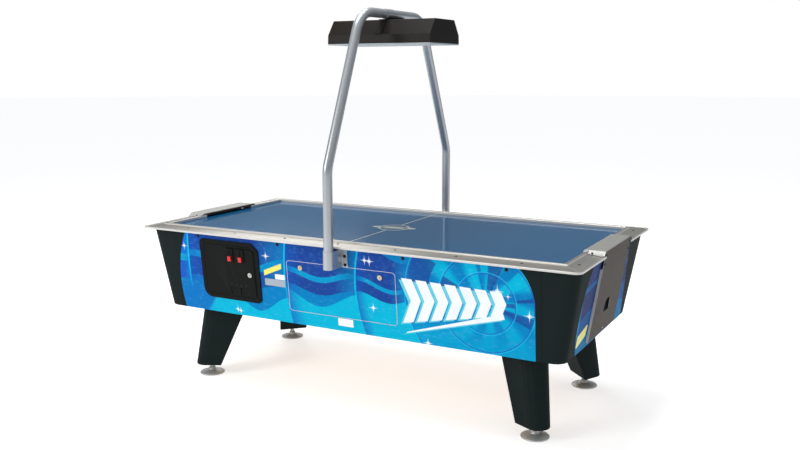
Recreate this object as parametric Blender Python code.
"""Coin-operated air hockey table with an overhead light.

Metres, +Z up. The origin is on the floor under the table's centre, +X runs along the table, and
-Y is the side with the coin door.
"""

import math

import bmesh
import bpy
from mathutils import Matrix, Vector

# Clearance between separate pieces
GAP = 0.0004

# Rails and playfield
RAIL_HALF_X = 1.220
RAIL_HALF_Y = 0.619
RAIL_BAND = 0.105
RAIL_CORNER = 0.036
RAIL_MIN_CORNER = 0.004
RAIL_BOTTOM = 0.836
RAIL_LIP_BOTTOM = 0.843
RAIL_LIP_DEPTH = 0.036
RAIL_CREST = 0.865
RAIL_FOOT = 0.012
PLAY_TOP = 0.849
PLAY_THICK = 0.018
PLAY_HALF_X = RAIL_HALF_X - RAIL_BAND + RAIL_FOOT - GAP
PLAY_HALF_Y = RAIL_HALF_Y - RAIL_BAND + RAIL_FOOT - GAP

# Cabinet: the outline grows with height, because every wall leans outwards
CABINET_BOTTOM = 0.410
CABINET_TOP = 0.8355
CABINET_HALF_X = 1.1294
CABINET_HALF_Y = 0.5253
END_SLOPE = 0.1644
SIDE_SLOPE = 0.1049
CABINET_CORNER = 0.060
PANEL_THICK = 0.018
CORNER_THICK = 0.012
SIDE_SEAM = 1.030
END_SEAM = 0.430
FLOOR_TOP = 0.427

# Goals
GOAL_HALF = 0.180
END_RAIL_STOP = 0.205
COVER_HALF = 0.2235
COVER_BEVEL = 0.0265
COVER_TOP = 0.874
COVER_PROUD = 0.013
COVER_SKIRT_BOTTOM = 0.7895
RETURN_TOP = 0.789
RETURN_BOTTOM = 0.432
RETURN_HALF = 0.0475
RETURN_SILL = 0.540
RETURN_HEIGHT = 0.066
CHUTE_TOP = PLAY_TOP - 0.004
SHEET = 0.0025

# Legs and levellers
FOOT_X = 0.9592
FOOT_Y = 0.3904
FOOT_RADIUS = 0.0683
LEG_TOP = 0.4092
LEG_BOTTOM = 0.0616
LEG_WALL = 0.006
LEG_FLOOR = 0.008
STEM_RADIUS = 0.008

# Doors on the front panel, as distances along X and up the slope from the panel's foot
COIN_LEFT = -0.860
COIN_RIGHT = -0.482
COIN_LOW = 0.083
COIN_HIGH = 0.403
COIN_BORDER = 0.022
COIN_PROUD = 0.0065
COIN_LEAST_FILLET = 0.0015
REJECT_X = (-0.660, -0.592)
REJECT_V = 0.313
FLAP_X = (-0.650, -0.588)
FLAP_V = 0.128
COIN_LOCK_X = -0.541
COIN_LOCK_V = 0.233
MECH_FRONT = -0.0112
SERVICE_HALF = 0.311
SERVICE_LOW = 0.0704
SERVICE_HIGH = 0.3345
SERVICE_CORNER = 0.018
SERVICE_LOCK_X = 0.228
SERVICE_LOCK_V = 0.3043

# Overhead light
POLE_RADIUS = 0.0238
POLE_WALL = 0.0025
POLE_Y = 0.648
POLE_FOOT = 0.746
POLE_KNEE = 1.225
POLE_SHOULDER_FRONT = 0.333
POLE_SHOULDER_REAR = 0.315
POLE_TOP = 1.965
POLE_JOINT = -0.092
POLE_BEND = 0.150
POLE_SIDES = 16
POLE_SOCKET = POLE_RADIUS + 0.0025
CLAMP_TOP = 0.8345
CLAMP_FLANGE = 0.054
HOOD_HALF_X = 0.2957
HOOD_HALF_Y = 0.1694
HOOD_KNEE_Y = 0.166
HOOD_TOP_Y = 0.110
HOOD_BOTTOM = 1.8168
HOOD_KNEE = 1.860
HOOD_TOP = 1.935
HOOD_SHEET = 0.003

# Blower under the plenum
BLOWER_X = 0.0
BLOWER_Y = 0.05
BLOWER_Z = 0.590
BLOWER_WIDTH = 0.110
TRAY_HALF_X = 1.100
TRAY_HALF_Y = 0.505
TRAY_BOTTOM = 0.735

MATERIALS = {}


def clear_scene():
    for obj in list(bpy.data.objects):
        bpy.data.objects.remove(obj, do_unlink=True)


def material(name, colour, roughness, metallic):
    made = bpy.data.materials.new(name)
    made.use_nodes = True
    shader = made.node_tree.nodes["Principled BSDF"]
    shader.inputs["Base Color"].default_value = (*colour, 1.0)
    shader.inputs["Roughness"].default_value = roughness
    shader.inputs["Metallic"].default_value = metallic
    made.diffuse_color = (*colour, 1.0)
    MATERIALS[name] = made


def make_materials():
    material("artwork", (0.024, 0.190, 0.520), 0.35, 0.0)
    material("textured_black", (0.018, 0.020, 0.021), 0.60, 0.0)
    material("board", (0.330, 0.230, 0.150), 0.70, 0.0)
    material("playfield_blue", (0.045, 0.125, 0.290), 0.12, 0.0)
    material("aluminium", (0.610, 0.590, 0.560), 0.30, 1.0)
    material("stainless", (0.500, 0.490, 0.470), 0.32, 1.0)
    material("pole_grey", (0.420, 0.430, 0.440), 0.45, 0.6)
    material("zinc", (0.560, 0.570, 0.570), 0.40, 0.9)
    material("hood_black", (0.022, 0.020, 0.018), 0.25, 0.0)
    material("diffuser_white", (0.800, 0.820, 0.820), 0.45, 0.0)
    material("lamp_white", (0.880, 0.880, 0.860), 0.30, 0.0)
    material("door_black", (0.020, 0.021, 0.021), 0.50, 0.3)
    material("mech_black", (0.025, 0.026, 0.027), 0.50, 0.0)
    material("red_plastic", (0.620, 0.020, 0.015), 0.30, 0.0)
    material("chrome", (0.700, 0.700, 0.690), 0.15, 1.0)
    material("galvanised", (0.450, 0.460, 0.470), 0.45, 0.9)
    material("motor_grey", (0.180, 0.190, 0.200), 0.50, 0.4)


# ---------------------------------------------------------------- mesh helpers


def link(name, mesh, surface, parent=None):
    obj = bpy.data.objects.new(name, mesh)
    bpy.context.scene.collection.objects.link(obj)
    obj.data.materials.append(MATERIALS[surface])
    obj.parent = parent
    return obj


def finish_mesh(bm, name, sharp_degrees=35.0):
    bmesh.ops.remove_doubles(bm, verts=bm.verts, dist=0.00001)
    bmesh.ops.recalc_face_normals(bm, faces=bm.faces)
    mesh = bpy.data.meshes.new(name)
    bm.to_mesh(mesh)
    bm.free()
    mesh.shade_smooth()
    mesh.set_sharp_from_angle(angle=math.radians(sharp_degrees))
    return mesh


def loft_mesh(name, rings, capped=True, ringed=False):
    """A skin over rings of equal length. Capped at both ends, or closed into a loop when ringed."""
    bm = bmesh.new()
    rows = [[bm.verts.new(point) for point in ring] for ring in rings]
    count = len(rows[0])
    pairs = list(zip(rows, rows[1:]))
    if ringed:
        pairs.append((rows[-1], rows[0]))
    for low, high in pairs:
        for i in range(count):
            j = (i + 1) % count
            bm.faces.new((low[i], low[j], high[j], high[i]))
    if capped and not ringed:
        bm.faces.new(rows[0][::-1])
        bm.faces.new(rows[-1])
    return finish_mesh(bm, name)


def loft(name, rings, surface, parent=None):
    return link(name, loft_mesh(name, rings), surface, parent)


def prism_rings(outline, low, high, axis="z"):
    """Two rings of an outline pushed along an axis. The outline's pair fills the other two axes in order."""
    place = {
        "x": lambda p, t: (t, p[0], p[1]),
        "y": lambda p, t: (p[0], t, p[1]),
        "z": lambda p, t: (p[0], p[1], t),
    }[axis]
    return [[place(point, low) for point in outline], [place(point, high) for point in outline]]


def prism(name, outline, low, high, surface, parent=None, axis="z"):
    return loft(name, prism_rings(outline, low, high, axis), surface, parent)


def turned(name, profile, surface, sides=24, parent=None, centre=(0, 0), axis="z"):
    """A closed profile of (radius, height) points revolved about a vertical axis, or about Y."""
    rings = []
    for step in range(sides):
        angle = math.tau * step / sides
        ring = []
        for radius, height in profile:
            a = radius * math.cos(angle)
            b = radius * math.sin(angle)
            if axis == "z":
                ring.append((centre[0] + a, centre[1] + b, height))
            else:
                ring.append((centre[0] + a, height, centre[1] + b))
        rings.append(ring)
    return link(name, loft_mesh(name, rings, ringed=True), surface, parent)


def helper(obj):
    obj.hide_render = True
    obj.display_type = "WIRE"
    return obj


def boolean(target, tool, operation):
    modifier = target.modifiers.new(operation.title() + tool.name, "BOOLEAN")
    modifier.operation = operation
    modifier.solver = "EXACT"
    modifier.object = helper(tool)


def cut(target, tool):
    boolean(target, tool, "DIFFERENCE")


def join(target, tool):
    boolean(target, tool, "UNION")


def cutter(name, outline, low, high, parent=None, axis="z"):
    return prism(name, outline, low, high, "board", parent, axis)


def box(name, low, high, surface, parent=None):
    outline = [(low[0], low[1]), (high[0], low[1]), (high[0], high[1]), (low[0], high[1])]
    return prism(name, outline, low[2], high[2], surface, parent)


def rectangle(x0, y0, x1, y1):
    return [(x0, y0), (x1, y0), (x1, y1), (x0, y1)]


def circle(cx, cy, radius, sides=20):
    steps = [math.tau * i / sides for i in range(sides)]
    return [(cx + radius * math.cos(a), cy + radius * math.sin(a)) for a in steps]


def filleted(corners, steps=4):
    """An outline from (x, y, fillet radius) corners, with an arc at each corner that has a radius."""
    points = []
    count = len(corners)
    for i, (x, y, radius) in enumerate(corners):
        if radius <= 0:
            points.append((x, y))
            continue
        here = Vector((x, y))
        back = (Vector(corners[i - 1][:2]) - here).normalized()
        ahead = (Vector(corners[(i + 1) % count][:2]) - here).normalized()
        half = math.acos(max(-1.0, min(1.0, back.dot(ahead)))) / 2
        centre = here + (back + ahead).normalized() * (radius / math.sin(half))
        start = here + back * (radius / math.tan(half)) - centre
        sweep = math.pi - 2 * half
        turn = -1.0 if back.x * ahead.y - back.y * ahead.x > 0 else 1.0
        for step in range(steps + 1):
            point = centre + Matrix.Rotation(turn * sweep * step / steps, 2) @ start
            points.append((point.x, point.y))
    return points


def rounded_rectangle(x0, y0, x1, y1, radius, steps=4):
    return filleted([(x0, y0, radius), (x1, y0, radius), (x1, y1, radius), (x0, y1, radius)], steps)


def lerp(a, b, t):
    return a + (b - a) * t


def mirrored(point, sx, sy):
    return (point[0] * sx, point[1] * sy, point[2])


# ---------------------------------------------------------------- cabinet


def half_x(z):
    return CABINET_HALF_X + END_SLOPE * (z - CABINET_BOTTOM)


def half_y(z):
    return CABINET_HALF_Y + SIDE_SLOPE * (z - CABINET_BOTTOM)


def front_plane():
    """An empty on the front panel's foot: local X along the table, Y up the slope, Z outwards."""
    plane = bpy.data.objects.new("front_plane", None)
    bpy.context.scene.collection.objects.link(plane)
    plane.location = (0.0, -CABINET_HALF_Y, CABINET_BOTTOM)
    plane.rotation_euler = (math.pi / 2 + math.atan(SIDE_SLOPE), 0.0, 0.0)
    return plane


def side_panel(name, side):
    rings = []
    for z in (CABINET_BOTTOM, CABINET_TOP):
        outer = side * half_y(z)
        inner = side * (half_y(z) - PANEL_THICK)
        rings.append(
            [(-SIDE_SEAM, outer, z), (SIDE_SEAM, outer, z), (SIDE_SEAM, inner, z), (-SIDE_SEAM, inner, z)]
        )
    return loft(name, rings, "artwork")


def end_panel(name, side):
    rings = []
    for z in (CABINET_BOTTOM, CABINET_TOP):
        outer = side * half_x(z)
        inner = side * (half_x(z) - PANEL_THICK)
        rings.append([(outer, -END_SEAM, z), (outer, END_SEAM, z), (inner, END_SEAM, z), (inner, -END_SEAM, z)])
    panel = loft(name, rings, "artwork")
    notch = cutter(name + "_notch", chute_outline(0.0015), side * 1.0, side * 1.3, axis="x")
    cut(panel, notch)
    return panel


def corner_panel(name, sx, sy):
    steps = 6
    rings = []
    for z in (CABINET_BOTTOM, CABINET_TOP):
        hx, hy = half_x(z), half_y(z)
        outer = [(SIDE_SEAM + GAP, hy)]
        inner = [(SIDE_SEAM + GAP, hy - CORNER_THICK)]
        for step in range(steps + 1):
            angle = math.pi / 2 * (1 - step / steps)
            cx, cy = hx - CABINET_CORNER, hy - CABINET_CORNER
            small = CABINET_CORNER - CORNER_THICK
            outer.append((cx + CABINET_CORNER * math.cos(angle), cy + CABINET_CORNER * math.sin(angle)))
            inner.append((cx + small * math.cos(angle), cy + small * math.sin(angle)))
        outer.append((hx, END_SEAM + GAP))
        inner.append((hx - CORNER_THICK, END_SEAM + GAP))
        rings.append([mirrored((x, y, z), sx, sy) for x, y in outer + inner[::-1]])
    return loft(name, rings, "textured_black")


def cabinet_floor():
    hx = CABINET_HALF_X - PANEL_THICK - 0.0015
    hy = CABINET_HALF_Y - PANEL_THICK - 0.0015
    floor = prism(
        "cabinet_floor", rounded_rectangle(-hx, -hy, hx, hy, 0.070), CABINET_BOTTOM, FLOOR_TOP, "board"
    )
    cut(floor, cutter("intake_cut", circle(BLOWER_X, BLOWER_Y, 0.090, 24), 0.30, 0.60))
    return floor


def cabinet():
    front = side_panel("cabinet_side_front", -1)
    rear = side_panel("cabinet_side_rear", 1)
    end_panel("cabinet_end_left", -1)
    end_panel("cabinet_end_right", 1)
    for x_name, sx in (("left", -1), ("right", 1)):
        for y_name, sy in (("front", -1), ("rear", 1)):
            corner_panel(f"cabinet_corner_{x_name}_{y_name}", sx, sy)
    cabinet_floor()
    return front, rear


def rear_panel_openings(rear):
    """Vent slots for the blower's air, and the hole of the power inlet."""
    for i in range(5):
        x = -0.30 + i * 0.030
        slot = rounded_rectangle(x - 0.006, 0.52, x + 0.006, 0.64, 0.0055, 2)
        cut(rear, cutter(f"vent_cut_{i}", slot, 0.45, 0.65, axis="y"))
    cut(rear, cutter("inlet_cut", rectangle(0.598, 0.478, 0.682, 0.532), 0.45, 0.65, axis="y"))


# ---------------------------------------------------------------- rails and playfield


def rail_section():
    """(distance from the outer edge, height) points of the aluminium rail."""
    band = RAIL_BAND
    return [
        (0.0000, RAIL_LIP_BOTTOM),
        (0.0000, 0.8505),
        (0.0025, 0.8530),
        (0.0090, 0.8535),
        (0.0120, 0.8510),
        (band - 0.0210, 0.8590),
        (band - 0.0185, 0.8635),
        (band - 0.0140, RAIL_CREST),
        (band - 0.0035, RAIL_CREST),
        (band, 0.8615),
        (band, PLAY_TOP + GAP),
        (band - RAIL_FOOT, PLAY_TOP + GAP),
        (band - RAIL_FOOT, RAIL_BOTTOM),
        (RAIL_LIP_DEPTH + 0.004, RAIL_BOTTOM),
        (RAIL_LIP_DEPTH, RAIL_LIP_BOTTOM),
    ]


def corner_arc(inset, start, end, steps=4):
    """Points of the rail outline's corner at an inset, from one angle to another, for the +X +Y corner."""
    radius = max(RAIL_CORNER - inset, RAIL_MIN_CORNER)
    cx = RAIL_HALF_X - inset - radius
    cy = RAIL_HALF_Y - inset - radius
    points = []
    for step in range(steps + 1):
        angle = lerp(start, end, step / steps)
        points.append((cx + radius * math.cos(angle), cy + radius * math.sin(angle)))
    return points


def rail_long(name, sy):
    """A long rail with half of each rounded corner, mitred on the diagonal."""
    mitre = math.pi / 4 + 0.004
    rows = []
    for inset, z in rail_section():
        right = corner_arc(inset, mitre, math.pi / 2)
        left = [(-x, y) for x, y in reversed(right)]
        rows.append([(x, sy * y, z) for x, y in right + left])
    rings = [[row[i] for row in rows] for i in range(len(rows[0]))]
    return loft(name, rings, "aluminium")


def rail_end(name, sx, sy):
    """An end rail from the corner's diagonal to the goal."""
    mitre = math.pi / 4 - 0.004
    rows = []
    for inset, z in rail_section():
        points = corner_arc(inset, mitre, 0.0)
        points.append((RAIL_HALF_X - inset, END_RAIL_STOP))
        rows.append([mirrored((x, y, z), sx, sy) for x, y in points])
    rings = [[row[i] for row in rows] for i in range(len(rows[0]))]
    rail = loft(name, rings, "aluminium")
    y0, y1 = sorted((sy * (END_RAIL_STOP - 0.01), sy * (COVER_HALF + 0.0007)))
    x0, x1 = sorted((sx * 1.180, sx * 1.260))
    cut(rail, cutter(name + "_notch", rectangle(x0, y0, x1, y1), 0.80, 0.90))
    return rail


def rails():
    rail_long("rail_front", -1)
    rail_long("rail_rear", 1)
    for x_name, sx in (("left", -1), ("right", 1)):
        for y_name, sy in (("front", -1), ("rear", 1)):
            rail_end(f"rail_end_{x_name}_{y_name}", sx, sy)


def playfield():
    outline = rounded_rectangle(-PLAY_HALF_X, -PLAY_HALF_Y, PLAY_HALF_X, PLAY_HALF_Y, 0.006)
    prism("playfield", outline, PLAY_TOP - PLAY_THICK, PLAY_TOP, "playfield_blue")


def plenum_tray():
    """A shallow open box of board under the playfield, with the blower's outlet in its bottom."""
    top = PLAY_TOP - PLAY_THICK - GAP
    wall = 0.010
    tray = box("plenum_tray", (-TRAY_HALF_X, -TRAY_HALF_Y, TRAY_BOTTOM), (TRAY_HALF_X, TRAY_HALF_Y, top), "board")
    inner = rectangle(-TRAY_HALF_X + wall, -TRAY_HALF_Y + wall, TRAY_HALF_X - wall, TRAY_HALF_Y - wall)
    cut(tray, cutter("tray_cut", inner, TRAY_BOTTOM + wall, top + 0.05))
    outlet = rectangle(BLOWER_X - 0.122, BLOWER_Y - 0.050, BLOWER_X - 0.048, BLOWER_Y + 0.050)
    cut(tray, cutter("tray_outlet_cut", outlet, TRAY_BOTTOM - 0.05, TRAY_BOTTOM + 0.02))


# ---------------------------------------------------------------- goals


def chute_outline(grow=0.0):
    """The puck chute seen from the end: a wide shaft that narrows to the return opening."""
    wide = GOAL_HALF + 0.004 + grow
    narrow = RETURN_HALF + 0.0085 + grow
    shoulder = 0.680
    sill = RETURN_SILL - 0.008 - grow
    top = CHUTE_TOP if grow == 0.0 else 0.900
    return [(-wide, top), (-wide, shoulder), (-narrow, sill), (narrow, sill), (wide, shoulder), (wide, top)]


def cover_x(z):
    return half_x(z) + COVER_PROUD


def goal_cover(name, sx):
    """A folded steel cover over the goal mouth, with a skirt down the end and a bevel at each side."""
    path = [
        (1.1155, 0.8600),
        (1.1155, COVER_TOP - 0.003),
        (1.1185, COVER_TOP),
        (cover_x(COVER_TOP) - 0.003, COVER_TOP),
        (cover_x(COVER_TOP) - 0.0005, COVER_TOP - 0.003),
        (cover_x(COVER_SKIRT_BOTTOM), COVER_SKIRT_BOTTOM),
    ]
    inside = [
        (cover_x(COVER_SKIRT_BOTTOM) - SHEET, COVER_SKIRT_BOTTOM),
        (cover_x(COVER_TOP) - SHEET - 0.001, COVER_TOP - SHEET - 0.0015),
        (1.1180, COVER_TOP - SHEET),
        (1.1180, 0.8600),
    ]
    outline = [(sx * x, z) for x, z in path + inside]
    cover = prism(name, outline, -COVER_HALF, COVER_HALF, "stainless", axis="y")
    for sy in (-1, 1):
        y0, y1 = sorted((sy * (END_RAIL_STOP - 0.0008), sy * 0.300))
        x0, x1 = sorted((sx * 1.100, sx * 1.135))
        cut(cover, cutter(f"{name}_rail_cut_{sy + 1}", rectangle(x0, y0, x1, y1), 0.84, RAIL_CREST + 0.0008))
        join(cover, cover_bevel(f"{name}_bevel_{sy + 1}", sx, sy))
    return cover


def cover_bevel(name, sx, sy):
    """A solid wedge that slopes from the cover's top down to the end rail."""
    lift = 0.0008
    edge = 0.0012
    bed = [
        (1.1160, RAIL_CREST),
        (1.1335, RAIL_CREST),
        (1.1375, 0.8592),
        (1.2065, 0.8515),
        (1.2090, 0.8541),
        (1.2155, 0.8541),
    ]
    rings = []
    for y, thin in ((COVER_HALF - 0.001, False), (COVER_HALF + COVER_BEVEL, True)):
        low = [(x, y, z + lift) for x, z in bed]
        high = [(x, y, z + lift + edge if thin else COVER_TOP - 0.0004) for x, z in reversed(bed)]
        rings.append([mirrored(point, sx, sy) for point in low + high])
    return loft(name, rings, "stainless")


def return_panel(name, sx):
    """The lower steel panel: a shallow pan on the cabinet's end, with the arched puck opening."""
    rings = []
    inner_rings = []
    lip = 0.003
    for z in (RETURN_BOTTOM, RETURN_TOP):
        out = sx * cover_x(z)
        back = sx * (half_x(z) + 0.0006)
        rings.append([(back, -COVER_HALF, z), (out, -COVER_HALF, z), (out, COVER_HALF, z), (back, COVER_HALF, z)])
    for z in (RETURN_BOTTOM + lip, RETURN_TOP - lip):
        out = sx * (cover_x(z) - lip)
        back = sx * (half_x(z) - 0.030)
        y = COVER_HALF - lip
        inner_rings.append([(back, -y, z), (out, -y, z), (out, y, z), (back, y, z)])
    panel = loft(name, rings, "stainless")
    cut(panel, loft(name + "_pan_cut", inner_rings, "board"))
    arch = filleted(
        [
            (-RETURN_HALF, RETURN_SILL, 0.006),
            (RETURN_HALF, RETURN_SILL, 0.006),
            (RETURN_HALF, RETURN_SILL + RETURN_HEIGHT, 0.042),
            (-RETURN_HALF, RETURN_SILL + RETURN_HEIGHT, 0.042),
        ],
        5,
    )
    cut(panel, cutter(name + "_arch_cut", arch, sx * 1.0, sx * 1.3, axis="x"))
    return panel


def puck_chute(name, sx):
    """An open-fronted shaft behind the goal mouth that drops the puck to the return opening."""
    wall = 0.004
    front_top = half_x(CHUTE_TOP)
    front_sill = half_x(RETURN_SILL)
    rings = []
    for depth in (0, 1):
        ring = []
        for y, z in chute_outline():
            front = lerp(front_sill, front_top, (z - RETURN_SILL) / (CHUTE_TOP - RETURN_SILL))
            ring.append((sx * (front if depth else PLAY_HALF_X + GAP), y, z))
        rings.append(ring)
    chute = loft(name, rings, "galvanised")
    wide, narrow = GOAL_HALF, RETURN_HALF + 0.0045
    hollow = [
        (-wide, 0.90),
        (-wide, 0.680),
        (-narrow, RETURN_SILL - wall),
        (narrow, RETURN_SILL - wall),
        (wide, 0.680),
        (wide, 0.90),
    ]
    cut(chute, cutter(name + "_cut", hollow, sx * (PLAY_HALF_X + GAP + wall), sx * 1.3, axis="x"))
    return chute


def goals():
    for x_name, sx in (("left", -1), ("right", 1)):
        goal_cover(f"goal_cover_{x_name}", sx)
        return_panel(f"puck_return_panel_{x_name}", sx)
        puck_chute(f"puck_chute_{x_name}", sx)


# ---------------------------------------------------------------- legs


def leg_section(nose, radius, back, half_width, inset=0.0):
    """A rounded nose that faces the table's corner, with flanks that spread to a flat back across the diagonal.

    nose and back are distances along the diagonal, as the |y| of a point on it. The diagonal runs
    through the leveller.
    """
    across = (half_width - inset * 1.5) / math.sqrt(2)
    back += inset / math.sqrt(2)
    radius -= inset
    ends = [(back + across, back - across), (back - across, back + across)]
    reach = math.hypot(nose - ends[0][0], nose - ends[0][1])
    heading = math.atan2(ends[0][1] - nose, ends[0][0] - nose)
    first = heading + math.acos(radius / reach)
    last = math.pi / 2 - first
    steps = 7
    outline = [ends[0]]
    for step in range(steps + 1):
        angle = lerp(first, last, step / steps)
        outline.append((nose + radius * math.cos(angle), nose + radius * math.sin(angle)))
    outline.append(ends[1])
    return [(x + FOOT_X - FOOT_Y, y) for x, y in outline]


def leg_rings(sx, sy, inset, low):
    """The leg's sections at a low height and at its top, moved in by a wall's thickness."""
    foot = (0.4076, 0.0592, 0.3612, 0.0835)
    head = (0.3565, 0.0726, 0.2513, 0.1065)
    rings = []
    for z in (low, LEG_TOP + (0.02 if inset else 0.0)):
        t = (z - LEG_BOTTOM) / (LEG_TOP - LEG_BOTTOM)
        section = leg_section(*[lerp(a, b, t) for a, b in zip(foot, head)], inset)
        rings.append([mirrored((x, y, z), sx, sy) for x, y in section])
    return rings


def leg(name, sx, sy):
    """A tapered hollow leg, open at its top under the cabinet, with the leveller's hole in its floor."""
    body = loft(name, leg_rings(sx, sy, 0.0, LEG_BOTTOM), "textured_black")
    cut(body, loft(name + "_hollow", leg_rings(sx, sy, LEG_WALL, LEG_BOTTOM + LEG_FLOOR), "board"))
    hole = circle(sx * FOOT_X, sy * FOOT_Y, STEM_RADIUS + GAP, 16)
    cut(body, cutter(name + "_stem_cut", hole, LEG_BOTTOM - 0.02, LEG_BOTTOM + 0.02))


def leveler(name, sx, sy):
    """A threaded stem with its lock nut, on a round foot. The stem goes up through the leg's foot plate."""
    rim = FOOT_RADIUS
    profile = [
        (0.0, 0.0),
        (rim - 0.0015, 0.0),
        (rim, 0.0020),
        (rim, 0.0055),
        (rim - 0.003, 0.0085),
        (0.034, 0.0150),
        (0.0215, 0.0200),
        (0.0180, 0.0270),
        (0.0175, 0.0335),
        (STEM_RADIUS, 0.0345),
        (STEM_RADIUS, 0.1080),
        (STEM_RADIUS - 0.002, 0.1100),
        (0.0, 0.1100),
    ]
    centre = (sx * FOOT_X, sy * FOOT_Y)
    foot = turned(name, profile, "zinc", 28, centre=centre)
    join(foot, prism(name + "_nut", circle(*centre, 0.0135, 6), 0.0380, 0.0460, "zinc"))


def legs():
    for x_name, sx in (("left", -1), ("right", 1)):
        for y_name, sy in (("front", -1), ("rear", 1)):
            leg(f"leg_{x_name}_{y_name}", sx, sy)
            leveler(f"leveler_{x_name}_{y_name}", sx, sy)


# ---------------------------------------------------------------- coin door


def inset_corners(corners, inset):
    """A convex, counter-clockwise outline's corners moved in by a distance, with their fillets kept concentric."""
    lines = []
    for i, (x, y, _) in enumerate(corners):
        ahead = corners[(i + 1) % len(corners)]
        along = (Vector(ahead[:2]) - Vector((x, y))).normalized()
        inward = Vector((-along.y, along.x))
        lines.append((Vector((x, y)) + inward * inset, along))
    moved = []
    for i, (_, _, radius) in enumerate(corners):
        before, line = lines[i - 1], lines[i]
        cross = before[1].x * line[1].y - before[1].y * line[1].x
        apart = line[0] - before[0]
        reach = (apart.x * line[1].y - apart.y * line[1].x) / cross
        point = before[0] + before[1] * reach
        moved.append((point.x, point.y, max(radius - inset, COIN_LEAST_FILLET)))
    return moved


def coin_outline(inset):
    """The coin door frame's outline: a clipped top right corner and a large bottom left radius."""
    corners = [
        (COIN_LEFT, COIN_LOW, 0.052),
        (COIN_RIGHT, COIN_LOW, 0.024),
        (COIN_RIGHT, COIN_HIGH - 0.036, 0.020),
        (COIN_RIGHT - 0.042, COIN_HIGH, 0.020),
        (COIN_LEFT, COIN_HIGH, 0.022),
    ]
    return filleted(inset_corners(corners, inset))


def coin_door_frame(plane, front):
    collar = COIN_BORDER - 0.006
    frame = prism("coin_door_frame", coin_outline(0.0), GAP, COIN_PROUD, "door_black", plane)
    neck = prism("coin_frame_neck", coin_outline(collar), -0.030, COIN_PROUD - 0.002, "board", plane)
    join(frame, neck)
    cut(frame, cutter("coin_frame_cut", coin_outline(COIN_BORDER), -0.06, 0.03, plane))
    cut(front, cutter("coin_panel_cut", coin_outline(collar - 0.0006), -0.10, 0.05, plane))


def coin_door(plane):
    inset = COIN_BORDER + 0.0014
    face = COIN_PROUD - 0.0005
    door = prism("coin_door", coin_outline(inset), face - 0.004, face, "door_black", plane)
    raised = rounded_rectangle(-0.693, 0.115, -0.512, 0.368, 0.010, 3)
    join(door, prism("coin_door_raise", raised, face - 0.002, face + 0.0035, "board", plane))
    for i, x in enumerate(REJECT_X):
        bezel = rounded_rectangle(x - 0.022, REJECT_V - 0.022, x + 0.022, REJECT_V + 0.052, 0.005, 2)
        join(door, prism(f"coin_bezel_{i}", bezel, face, face + 0.0075, "board", plane))
    for i, x in enumerate(REJECT_X):
        hole = rounded_rectangle(x - 0.0106, REJECT_V - 0.0136, x + 0.0106, REJECT_V + 0.0136, 0.002, 2)
        cut(door, cutter(f"reject_cut_{i}", hole, -0.02, 0.04, plane))
        slot = rectangle(x - 0.0018, REJECT_V + 0.020, x + 0.0018, REJECT_V + 0.047)
        cut(door, cutter(f"coin_slot_cut_{i}", slot, -0.02, 0.04, plane))
    for i, x in enumerate(FLAP_X):
        hole = rectangle(x - 0.0222, FLAP_V - 0.0222, x + 0.0222, FLAP_V + 0.0266)
        cut(door, cutter(f"flap_cut_{i}", hole, -0.02, 0.04, plane))
    cut(door, cutter("coin_lock_cut", circle(COIN_LOCK_X, COIN_LOCK_V, 0.0104, 16), -0.02, 0.04, plane))
    return door


def place_origin(obj, local):
    """Moves an object's origin to a point in its parent's space and keeps its mesh where it is."""
    offset = Vector(local)
    obj.data.transform(Matrix.Translation(-offset))
    obj.location = offset


def reject_button(name, x, plane):
    outline = rounded_rectangle(x - 0.0100, REJECT_V - 0.0130, x + 0.0100, REJECT_V + 0.0130, 0.002, 2)
    button = prism(name, outline, -0.006, 0.0215, "red_plastic", plane)
    place_origin(button, (x, REJECT_V, 0.0))


def return_flap(name, x, plane):
    outline = rectangle(x - 0.0214, FLAP_V - 0.0214, x + 0.0214, FLAP_V + 0.0250)
    flap = prism(name, outline, 0.0045, 0.0070, "door_black", plane)
    place_origin(flap, (x, FLAP_V + 0.0250, 0.0058))


def cam_lock(name, x, v, back, cam_length, plane, rim):
    """A key lock: a barrel through its door, a rim in front and a cam behind. Rest is unlocked."""
    barrel = prism(name, circle(x, v, 0.0100, 16), back, rim + 0.004, "chrome", plane)
    join(barrel, prism(name + "_rim", circle(x, v, 0.0128, 16), rim, rim + 0.0032, "board", plane))
    cam = rounded_rectangle(x - 0.008, v - 0.010, x + 0.008, v + cam_length, 0.006, 2)
    join(barrel, prism(name + "_cam", cam, back - 0.003, back + 0.0005, "board", plane))
    key = rectangle(x - 0.0012, v - 0.0055, x + 0.0012, v + 0.0055)
    cut(barrel, cutter(name + "_key", key, rim - 0.004, rim + 0.02, plane))
    place_origin(barrel, (x, v, 0.0))


def coin_mech(plane):
    """The acceptor on the back of the door, with its two coin paths."""
    mech = box("coin_mech", (-0.690, 0.168, -0.080), (-0.566, 0.312, MECH_FRONT), "mech_black", plane)
    for i, x in enumerate(REJECT_X):
        path = rectangle(x - 0.010, 0.150, x + 0.010, 0.330)
        cut(mech, cutter(f"coin_path_cut_{i}", path, -0.060, -0.030, plane))


def cash_box():
    low, high = (-0.800, -0.485, FLOOR_TOP + GAP), (-0.560, -0.300, 0.540)
    wall = 0.0025
    tin = box("cash_box", low, high, "galvanised")
    inner = rectangle(low[0] + wall, low[1] + wall, high[0] - wall, high[1] - wall)
    cut(tin, cutter("cash_box_cut", inner, low[2] + wall, high[2] + 0.05))


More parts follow.
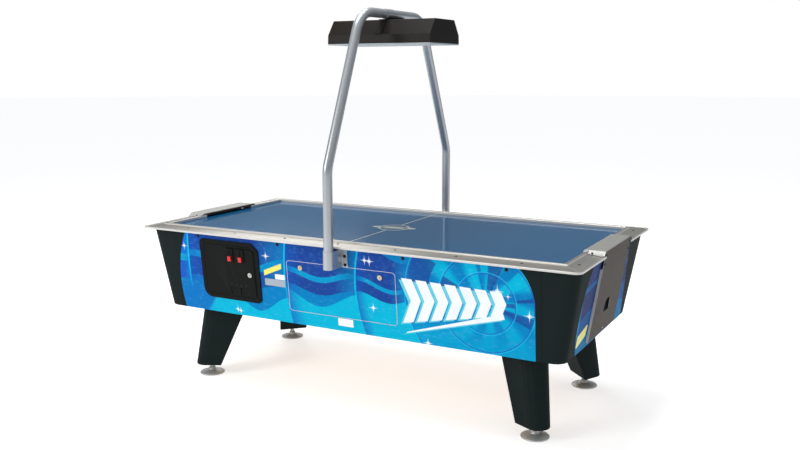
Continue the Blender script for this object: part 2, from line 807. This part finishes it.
def coin_unit(plane, front):
    coin_door_frame(plane, front)
    coin_door(plane)
    for side, x in zip(("left", "right"), REJECT_X):
        reject_button(f"coin_reject_button_{side}", x, plane)
    for side, x in zip(("left", "right"), FLAP_X):
        return_flap(f"coin_return_flap_{side}", x, plane)
    cam_lock("coin_door_lock", COIN_LOCK_X, COIN_LOCK_V, -0.036, 0.052, plane, COIN_PROUD + 0.0034)
    coin_mech(plane)
    cash_box()


def service_door(plane, front):
    def outline(grow):
        return rounded_rectangle(
            -SERVICE_HALF - grow, SERVICE_LOW - grow, SERVICE_HALF + grow, SERVICE_HIGH + grow, SERVICE_CORNER, 4
        )

    door = prism("service_door", outline(0.0), -PANEL_THICK + 0.0004, -0.0002, "artwork", plane)
    place_origin(door, (0.0, SERVICE_LOW, 0.0))
    cut(front, cutter("service_panel_cut", outline(0.0014), -0.05, 0.05, plane))
    for side, sx in (("left", -1), ("right", 1)):
        x = sx * SERVICE_LOCK_X
        hole = cutter(f"service_lock_cut_{side}", circle(x, SERVICE_LOCK_V, 0.0104, 16), -0.05, 0.05, plane)
        cut(door, hole)
        cam_lock(f"service_door_lock_{side}", x, SERVICE_LOCK_V, -0.024, 0.018, plane, 0.0002)


# ---------------------------------------------------------------- air and power


def scroll_outline(inset):
    """The blower scroll seen along its axis, with a neck up to the plenum."""
    steps = 28
    points = []
    for step in range(steps + 1):
        turn = step / steps
        angle = -math.tau * turn * 0.83
        radius = 0.092 + 0.030 * turn - inset
        points.append((BLOWER_X + radius * math.cos(angle), BLOWER_Z + radius * math.sin(angle)))
    top = TRAY_BOTTOM - GAP + (0.05 if inset else 0.0)
    return [(BLOWER_X - 0.125 + inset, top)] + outline_tail(points, top, inset)


def outline_tail(points, top, inset):
    """The scroll's points in order from the neck's outer wall round to its inner wall."""
    outer = [(BLOWER_X - 0.125 + inset, BLOWER_Z)]
    below = [p for p in reversed(points) if p[1] < BLOWER_Z - 0.010]
    cap = [
        (BLOWER_X + 0.092 - inset, BLOWER_Z),
        (BLOWER_X + 0.080 - inset, BLOWER_Z + 0.045),
        (BLOWER_X + 0.045 - inset * 0.6, BLOWER_Z + 0.080 - inset),
        (BLOWER_X, BLOWER_Z + 0.092 - inset),
        (BLOWER_X - 0.045 - inset, BLOWER_Z + 0.105 - inset * 0.3),
        (BLOWER_X - 0.045 - inset, top),
    ]
    return outer + below + cap


def blower():
    y0, y1 = BLOWER_Y - BLOWER_WIDTH / 2, BLOWER_Y + BLOWER_WIDTH / 2
    wall = 0.003
    housing = prism("blower_housing", scroll_outline(0.0), y0, y1, "galvanised", axis="y")
    cut(housing, cutter("scroll_cut", scroll_outline(wall), y0 + wall, y1 - wall, axis="y"))
    inlet = cutter("blower_inlet_cut", circle(BLOWER_X, BLOWER_Z, 0.055, 24), y0 - 0.02, y0 + 0.01, axis="y")
    cut(housing, inlet)
    shaft_hole = cutter("shaft_cut", circle(BLOWER_X, BLOWER_Z, 0.010, 16), y1 - 0.02, y1 + 0.02, axis="y")
    cut(housing, shaft_hole)
    impeller(y0, y1)
    turned(
        "blower_motor",
        [
            (0.0, y1 + 0.100),
            (0.045, y1 + 0.100),
            (0.055, y1 + 0.092),
            (0.055, y1 + 0.010),
            (0.050, y1 + GAP),
            (0.0068, y1 + GAP),
            (0.0068, y1 + 0.030),
            (0.0, y1 + 0.030),
        ],
        "motor_grey",
        24,
        centre=(BLOWER_X, BLOWER_Z),
        axis="y",
    )


def impeller(y0, y1):
    """A squirrel-cage wheel: a back disc with a ring of blades, and the motor's shaft."""
    blades = 16
    points = []
    for i in range(blades):
        for part, radius in ((0.0, 0.064), (0.16, 0.080), (0.44, 0.080), (0.60, 0.064)):
            angle = math.tau * (i + part) / blades
            points.append((BLOWER_X + radius * math.cos(angle), BLOWER_Z + radius * math.sin(angle)))
    wheel = prism("blower_impeller", points, y0 + 0.012, y1 - 0.012, "motor_grey", axis="y")
    cut(wheel, cutter("impeller_cut", circle(BLOWER_X, BLOWER_Z, 0.056, 20), y0, y1 - 0.018, axis="y"))
    shaft = prism("impeller_shaft", circle(BLOWER_X, BLOWER_Z, 0.006, 12), y1 - 0.045, y1 + 0.027, "zinc", axis="y")
    join(wheel, shaft)
    place_origin(wheel, (BLOWER_X, BLOWER_Y, BLOWER_Z))


def power_inlet():
    """An inlet with its switch on the rear panel."""
    y = half_y(0.505)
    low, high = (0.600, y - 0.036, 0.480), (0.680, y + 0.004, 0.530)
    inlet = box("power_inlet", low, high, "motor_grey")
    socket = rounded_rectangle(0.606, 0.486, 0.640, 0.524, 0.004, 2)
    cut(inlet, cutter("inlet_socket_cut", socket, y - 0.024, y + 0.02, axis="y"))
    cut(inlet, cutter("switch_cut", rectangle(0.6500, 0.4900, 0.6720, 0.5200), y - 0.024, y + 0.02, axis="y"))
    rocker = [
        (y - 0.010, 0.4925),
        (y + 0.0045, 0.4925),
        (y + 0.0020, 0.5050),
        (y + 0.0075, 0.5172),
        (y - 0.010, 0.5172),
    ]
    switch = prism("power_switch", rocker, 0.6505, 0.6715, "door_black", axis="x")
    place_origin(switch, (0.661, y - 0.004, 0.505))


def control_box():
    """A folded cover over the game's electronics, open underneath and screwed to the cabinet's floor."""
    low, high = (0.080, -0.420, FLOOR_TOP + GAP), (0.360, -0.240, 0.560)
    wall = 0.0025
    cover = box("control_box", low, high, "galvanised")
    inner = rectangle(low[0] + wall, low[1] + wall, high[0] - wall, high[1] - wall)
    cut(cover, cutter("control_box_cut", inner, low[2] - 0.05, high[2] - wall))


# ---------------------------------------------------------------- overhead light


def pole_path(corners):
    """(point, direction) pairs in the YZ plane along straight runs joined by arcs."""
    path = [corners[0]]
    steps = 5
    for i in range(1, len(corners) - 1):
        here = Vector(corners[i])
        back = (Vector(corners[i - 1]) - here).normalized()
        ahead = (Vector(corners[i + 1]) - here).normalized()
        half = math.acos(back.dot(ahead)) / 2
        reach = POLE_BEND / math.tan(half)
        centre = here + (back + ahead).normalized() * (POLE_BEND / math.sin(half))
        start = here + back * reach - centre
        turn = -1.0 if back.x * ahead.y - back.y * ahead.x > 0 else 1.0
        for step in range(steps + 1):
            point = centre + Matrix.Rotation(turn * (math.pi - 2 * half) * step / steps, 2) @ start
            path.append((point.x, point.y))
    path.append(corners[-1])
    return path


def tube_rings(path, radii):
    """Circles round a path in the YZ plane, one for each of its points."""
    rings = []
    for i, (y, z) in enumerate(path):
        a = Vector(path[max(i - 1, 0)])
        b = Vector(path[min(i + 1, len(path) - 1)])
        along = (b - a).normalized()
        normal = Vector((0.0, -along.y, along.x))
        ring = []
        for step in range(POLE_SIDES):
            angle = math.tau * step / POLE_SIDES
            offset = Vector((1, 0, 0)) * math.cos(angle) + normal * math.sin(angle)
            ring.append(Vector((0.0, y, z)) + offset * radii[i])
        rings.append(ring)
    return rings


def pole(name, corners, outer, inner):
    """A bent tube, skinned outside and inside. outer and inner give the radii of its last points."""
    path = pole_path(corners)
    bulk = len(path) - len(outer)
    outer_radii = [POLE_RADIUS] * bulk + outer
    inner_radii = [POLE_RADIUS - POLE_WALL] * bulk + inner
    outside = tube_rings(path, outer_radii)
    inside = tube_rings(path, inner_radii)
    return link(name, loft_mesh(name, outside + inside[::-1], ringed=True), "pole_grey")


def poles():
    shoulder = POLE_JOINT + 0.070
    front = [(-POLE_Y, POLE_FOOT), (-POLE_Y, POLE_KNEE), (-POLE_SHOULDER_FRONT, POLE_TOP), (POLE_JOINT + 0.055, POLE_TOP)]
    thin = POLE_RADIUS - POLE_WALL
    pole("pole_front", front, [POLE_RADIUS], [thin])
    rear = [(POLE_Y, POLE_FOOT), (POLE_Y, POLE_KNEE), (POLE_SHOULDER_REAR, POLE_TOP), (POLE_JOINT, POLE_TOP)]
    tube = pole("pole_rear", rear, [POLE_RADIUS], [thin])
    ring = cylinder_y("pole_socket", POLE_SOCKET, POLE_JOINT, shoulder)
    join(tube, ring)
    cut(tube, cylinder_y("pole_socket_cut", POLE_RADIUS + GAP, POLE_JOINT - 0.02, POLE_JOINT + 0.058))


def cylinder_y(name, radius, y0, y1):
    return prism(name, circle(0.0, POLE_TOP, radius, POLE_SIDES), y0, y1, "board", axis="y")


def pole_clamp(name, sy):
    """A saddle that wraps the pole's foot, with a flange on each side bolted to the cabinet."""
    inner = POLE_RADIUS + GAP
    outer = inner + 0.0035
    rings = []
    for z in (POLE_FOOT, CLAMP_TOP):
        wall = half_y(z) + 0.0008
        flange = wall + 0.0035
        half = [(CLAMP_FLANGE, wall), (CLAMP_FLANGE, flange), (outer, flange)]
        for step in range(9):
            angle = math.pi * step / 8
            half.append((outer * math.cos(angle), POLE_Y + outer * math.sin(angle)))
        half += [(-outer, flange), (-CLAMP_FLANGE, flange), (-CLAMP_FLANGE, wall), (-inner, wall)]
        for step in range(9):
            angle = math.pi * (1 - step / 8)
            half.append((inner * math.cos(angle), POLE_Y + inner * math.sin(angle)))
        half.append((inner, wall))
        rings.append([(x, sy * y, z) for x, y in half])
    return loft(name, rings, "pole_grey")


def hood_section(inset):
    return [
        (-HOOD_HALF_Y + inset, HOOD_BOTTOM),
        (-HOOD_KNEE_Y + inset, HOOD_KNEE - inset * 0.3),
        (-HOOD_TOP_Y + inset * 0.7, HOOD_TOP - inset),
        (HOOD_TOP_Y - inset * 0.7, HOOD_TOP - inset),
        (HOOD_KNEE_Y - inset, HOOD_KNEE - inset * 0.3),
        (HOOD_HALF_Y - inset, HOOD_BOTTOM),
    ]


def light():
    hood = prism("light_hood", hood_section(0.0), -HOOD_HALF_X, HOOD_HALF_X, "hood_black", axis="x")
    inner = hood_section(HOOD_SHEET)
    inner[0] = (inner[0][0], HOOD_BOTTOM - 0.02)
    inner[-1] = (inner[-1][0], HOOD_BOTTOM - 0.02)
    cut(hood, cutter("hood_cut", inner, -HOOD_HALF_X + HOOD_SHEET, HOOD_HALF_X - HOOD_SHEET, axis="x"))
    half_x_panel, half_y_panel = HOOD_HALF_X - 0.0008, HOOD_HALF_Y - 0.0008
    box(
        "light_diffuser",
        (-half_x_panel, -half_y_panel, HOOD_BOTTOM - 0.0070),
        (half_x_panel, half_y_panel, HOOD_BOTTOM - GAP),
        "diffuser_white",
    )
    for side, y in (("front", -0.075), ("rear", 0.075)):
        tube = [(-0.275, 0.006), (-0.268, 0.0125), (0.268, 0.0125), (0.275, 0.006)]
        rings = [[(x, y + p[0], 1.862 + p[1]) for p in circle(0, 0, radius, 12)] for x, radius in tube]
        loft(f"lamp_tube_{side}", rings, "lamp_white")


def light_hanger():
    """A strap over the hood, with a block that carries the poles."""
    thick = 0.0025
    strap = [
        (-0.1672, 1.8620),
        (-0.1108, HOOD_TOP + GAP),
        (0.1108, HOOD_TOP + GAP),
        (0.1672, 1.8620),
        (0.1695, 1.8633),
        (0.1120, HOOD_TOP + GAP + thick),
        (-0.1120, HOOD_TOP + GAP + thick),
        (-0.1695, 1.8633),
    ]
    hanger = prism("light_hanger", strap, -0.0225, 0.0225, "hood_black", axis="x")
    block_top = POLE_TOP - POLE_SOCKET - GAP
    block = box("hanger_block", (-0.018, -0.075, HOOD_TOP + 0.001), (0.018, 0.030, block_top), "board")
    join(hanger, block)


def main():
    clear_scene()
    make_materials()
    plane = front_plane()
    front, rear = cabinet()
    rear_panel_openings(rear)
    rails()
    playfield()
    plenum_tray()
    goals()
    legs()
    coin_unit(plane, front)
    service_door(plane, front)
    blower()
    power_inlet()
    control_box()
    poles()
    pole_clamp("pole_clamp_front", -1)
    pole_clamp("pole_clamp_rear", 1)
    light()
    light_hanger()


main()
